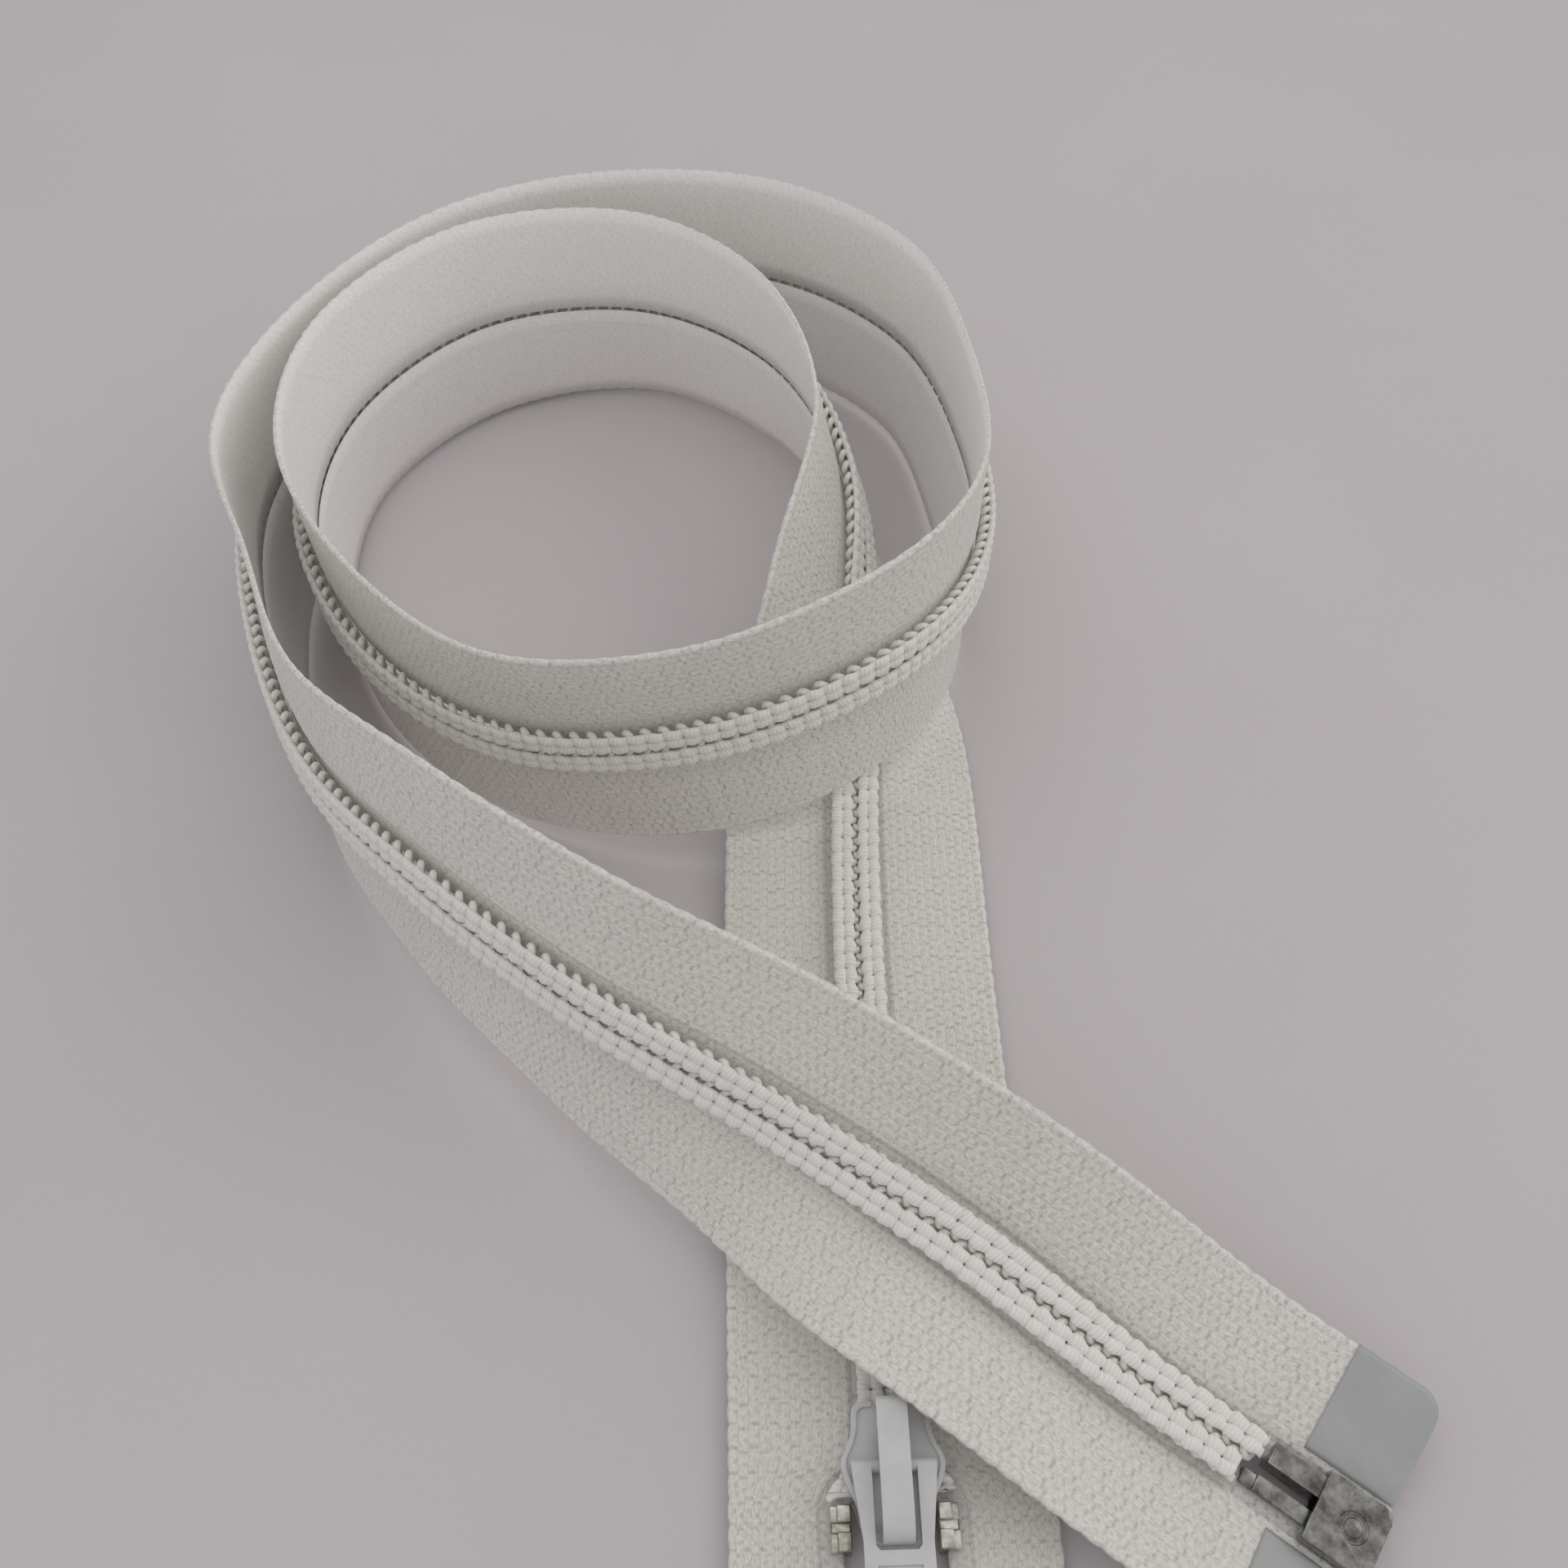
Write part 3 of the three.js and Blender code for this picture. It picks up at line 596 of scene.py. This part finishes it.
def make_film(name, side):
    """The film over the end of a tape, a closed sheet just proud of the weave."""
    distance = np.concatenate([
        np.arange(LENGTH - FILM_LENGTH, LENGTH - CORNER_RADIUS, 0.4),
        np.arange(LENGTH - CORNER_RADIUS, LENGTH, END_STEP),
        [LENGTH],
    ])
    route = Route(distance)
    share = np.linspace(0, 1, 24)[None, :]
    inner = np.full((len(distance), 1), HINGE + 1.2)
    outer = outer_reach(distance)[:, None] + 0.1
    reach = inner + (outer - inner) * share
    wrinkle = 0.015 * np.sin(reach * 2.9 + distance[:, None] * 1.7)
    top = MARGIN_RISE + 0.2 + wrinkle
    top[:, [0, -1]] -= 0.06
    foot = np.full_like(top, MARGIN_RISE - 0.02)
    rings = route.place(side, np.hstack([reach, reach[:, ::-1]]), np.hstack([foot, top[:, ::-1]]))
    around = np.concatenate([reach[0], reach[0, ::-1], reach[0, :1]])
    return skin(name, rings, side < 0, around, distance, [FILM])


# ---------------------------------------------------------------- coil, cord and stitching

PITCH = 2.0                  # one coil loop and one stitch
LOOP_POINTS = 12
FILAMENT = 0.44              # radius of the nylon
LOOP_MIDDLE = (1.30, 1.5)    # reach and rise of the middle of a loop
LOOP_HALF = (1.28, 0.48)     # half its width and half its height
COIL_TO = {1: BOX_FROM - RETAINER_LENGTH - PIN_GAP, -1: BOX_FROM - INSERTION_LENGTH - PIN_GAP}


def phase(side):
    """The two coils mesh half a pitch apart."""
    return 0.0 if side > 0 else PITCH / 2


def make_coil(name, side):
    """One drawn filament wound in flat loops, with its heads past the chain's centre."""
    start = COIL_FROM + phase(side)
    turns = int((COIL_TO[side] - start) / PITCH)
    turn = np.arange(turns * LOOP_POINTS + 1) / LOOP_POINTS
    angle = 2 * math.pi * turn
    slant = 0.22 * np.sin(2 * angle)
    distance = start + PITCH * (turn + slant * 0.35)
    route = Route(distance)
    across = np.sign(np.cos(angle)) * np.abs(np.cos(angle)) ** 0.7
    upward = np.sign(np.sin(angle)) * np.abs(np.sin(angle)) ** 0.8
    reach = LOOP_MIDDLE[0] + LOOP_HALF[0] * across + spread_at(distance)
    rise = LOOP_MIDDLE[1] + LOOP_HALF[1] * upward
    path = route.place(side, reach[:, None], rise[:, None])[:, 0]
    tangent = unit(np.gradient(path, axis=0))
    sideways = unit(np.cross(tangent, route.along))
    upright = np.cross(sideways, tangent)
    return tube(name, path, sideways, upright, FILAMENT, FILAMENT, side < 0, turn * 4, COIL_NYLON, 6)


STITCH_POINTS = 12
INNER_ROW = 1.0
OUTER_ROW = 2.22


def make_cord(name, side):
    """Three strands twisted together inside the coil."""
    distance = np.arange(COIL_FROM + 0.4, COIL_TO[side] - 0.4, 0.5)
    route = Route(distance)
    size = 12
    angle = np.arange(size) * 2 * math.pi / size
    twist = distance[:, None] * 1.4
    radius = 0.36 + 0.06 * np.abs(np.cos(1.5 * (angle[None, :] + twist)))
    reach = 1.22 + spread_at(distance)[:, None] + radius * 1.4 * np.cos(angle)
    rise = 1.5 + radius * 0.6 * np.sin(angle)
    rings = route.place(side, reach, rise)
    around = np.arange(size + 1) / size * 3
    return skin(name, rings, side < 0, around, distance, [CORD])


def make_stitch(name, side, row, slant, scallop):
    """A row of plump stitches like plaited lobes, each slanting across the coil.

    Each lobe runs slowly along its stitch and then ducks a little under the next one.
    """
    start = COIL_FROM + 0.5
    distance = np.arange(start, COIL_TO[side] - 0.4, PITCH / STITCH_POINTS)
    beat = ((distance - COIL_FROM - phase(side)) / PITCH) % 1
    lobe = np.sin(math.pi * beat) ** 0.6
    wobble = 0.05 * np.sin(1.7 * distance + 3 * row) + 0.04 * np.sin(4.3 * distance + row)
    reach = row + spread_at(distance) + slant * 0.34 * (0.5 - beat) * lobe + wobble
    rise = 2.10 + 0.26 * lobe
    route = Route(distance)
    path = route.place(side, reach[:, None], rise[:, None])[:, 0]
    width = 0.76 - scallop * (1 - lobe)
    height = 0.34 + 0.12 * lobe
    sideways = side * route.across
    return tube(name, path, sideways, route.up, width, height, side < 0, distance, THREAD, 12)


def dress_half(label, side):
    """Everything soft on one half of the chain."""
    made = {
        "tape_{}": (make_tape(f"woven_tape_{label}", side), "woven_tape"),
        "coil_{}": (make_coil(f"nylon_coil_{label}", side), "nylon_coil"),
        "core_cord_{}": (make_cord(f"twisted_cord_{label}", side), "core_cord"),
        "film_{}": (make_film(f"end_film_{label}", side), "tape_film"),
    }
    for row_name, row, slant, scallop in (("inner", INNER_ROW, -1, 0.26), ("outer", OUTER_ROW, 1, 0.2)):
        stitch = make_stitch(f"chain_stitch_{label}_{row_name}", side, row, slant, scallop)
        made["stitch_{}_" + row_name] = (stitch, "sewing_thread")
    for node, (piece, slot) in made.items():
        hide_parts(node.format(label))
        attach(piece, BODY)


dress_half("left", 1)
dress_half("right", -1)


# ---------------------------------------------------------------- metal pieces

def finish_metal(node, material, edge):
    """A CAD node keeps its shape and gets its material and softened edges."""
    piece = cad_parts[node]
    piece.data.materials.clear()
    piece.data.materials.append(material)
    piece.data.polygons.foreach_set("use_smooth", [True] * len(piece.data.polygons))
    weld = piece.modifiers.new("weld", "WELD")
    weld.merge_threshold = 0.002 * MM
    bevel = piece.modifiers.new("soft_edges", "BEVEL")
    bevel.width = edge * MM
    bevel.segments = 3
    bevel.limit_method = "ANGLE"
    bevel.angle_limit = math.radians(35)
    piece.modifiers.new("even_shading", "WEIGHTED_NORMAL")


for node in ("slider_body", "slider_cap", "pull_tab"):
    finish_metal(node, LACQUER, 0.16)
for node in ("retainer_box", "retainer_pin", "insertion_pin"):
    finish_metal(node, NICKEL, 0.14)
for node in ("top_stop_left", "top_stop_right"):
    finish_metal(node, STOP_METAL, 0.2)
finish_metal("lock_spring", STEEL, 0.05)


# ---------------------------------------------------------------- floor, light and camera

def floor_material():
    n = Nodes("plaster_floor")
    patches = n.noise(n.place(14), 1.0, 4.0)
    grain = n.noise(n.place(900), 1.0, 3.0, 0.7)
    mottled = n.math("ADD", n.math("MULTIPLY", patches, 0.7), n.math("MULTIPLY", grain, 0.3))
    colour = n.ramp(mottled, (0.3, (0.605, 0.565, 0.58)), (0.7, (0.64, 0.60, 0.61)))
    n.link(colour, n.shader.inputs["Base Color"])
    n.link(n.bump(grain, 0.05, 0.4), n.shader.inputs["Normal"])
    n.set(Roughness=0.8, Specular_IOR_Level=0.25)
    return n.material


def make_floor():
    size = 3.0 / MM / 2
    corners = [(-size, -size, 0), (size, -size, 0), (size, size, 0), (-size, size, 0)]
    floor = mesh_object("floor", corners, [(0, 1, 2, 3)], materials=[floor_material()])


def area_light(name, place, target, size, power, colour):
    light = bpy.data.lights.new(name, "AREA")
    light.shape = "DISK"
    light.size = size
    light.energy = power
    light.color = colour
    lamp = bpy.data.objects.new(name, light)
    lamp.location = place
    lamp.rotation_euler = (Vector(target) - Vector(place)).to_track_quat("-Z", "Y").to_euler()
    bpy.context.scene.collection.objects.link(lamp)


def make_light():
    world = bpy.data.worlds.new("soft_room")
    world.use_nodes = True
    background = world.node_tree.nodes["Background"]
    background.inputs["Color"].default_value = (0.985, 0.985, 1.0, 1)
    background.inputs["Strength"].default_value = 0.59
    bpy.context.scene.world = world
    area_light("window", (1.0, 0.3, 0.75), (0, 0, 0), 1.0, 2.2, (1.0, 0.96, 0.9))
    area_light("overhead", (-0.02, 0.04, 0.32), (-0.02, 0.04, 0), 0.3, 0.10, (1.0, 0.98, 0.95))


def make_camera():
    """Hand-held above the slider end, looking down and away along the chain."""
    height = 165.0
    standing = (SHIFT_X, SHIFT_Y)          # in line with the route's own origin
    downward = 54.1
    turned = 1.65
    camera = bpy.data.cameras.new("photo_view")
    camera.sensor_width = 36
    camera.lens = 35.6
    camera.clip_start = 0.005
    viewer = bpy.data.objects.new("photo_view", camera)
    viewer.location = (standing[0] * MM, standing[1] * MM, height * MM)
    viewer.rotation_euler = (math.radians(90 - downward), 0, -math.radians(turned))
    bpy.context.scene.collection.objects.link(viewer)
    bpy.context.scene.camera = viewer


make_floor()
make_light()
make_camera()

bpy.context.scene.view_settings.view_transform = "Standard"
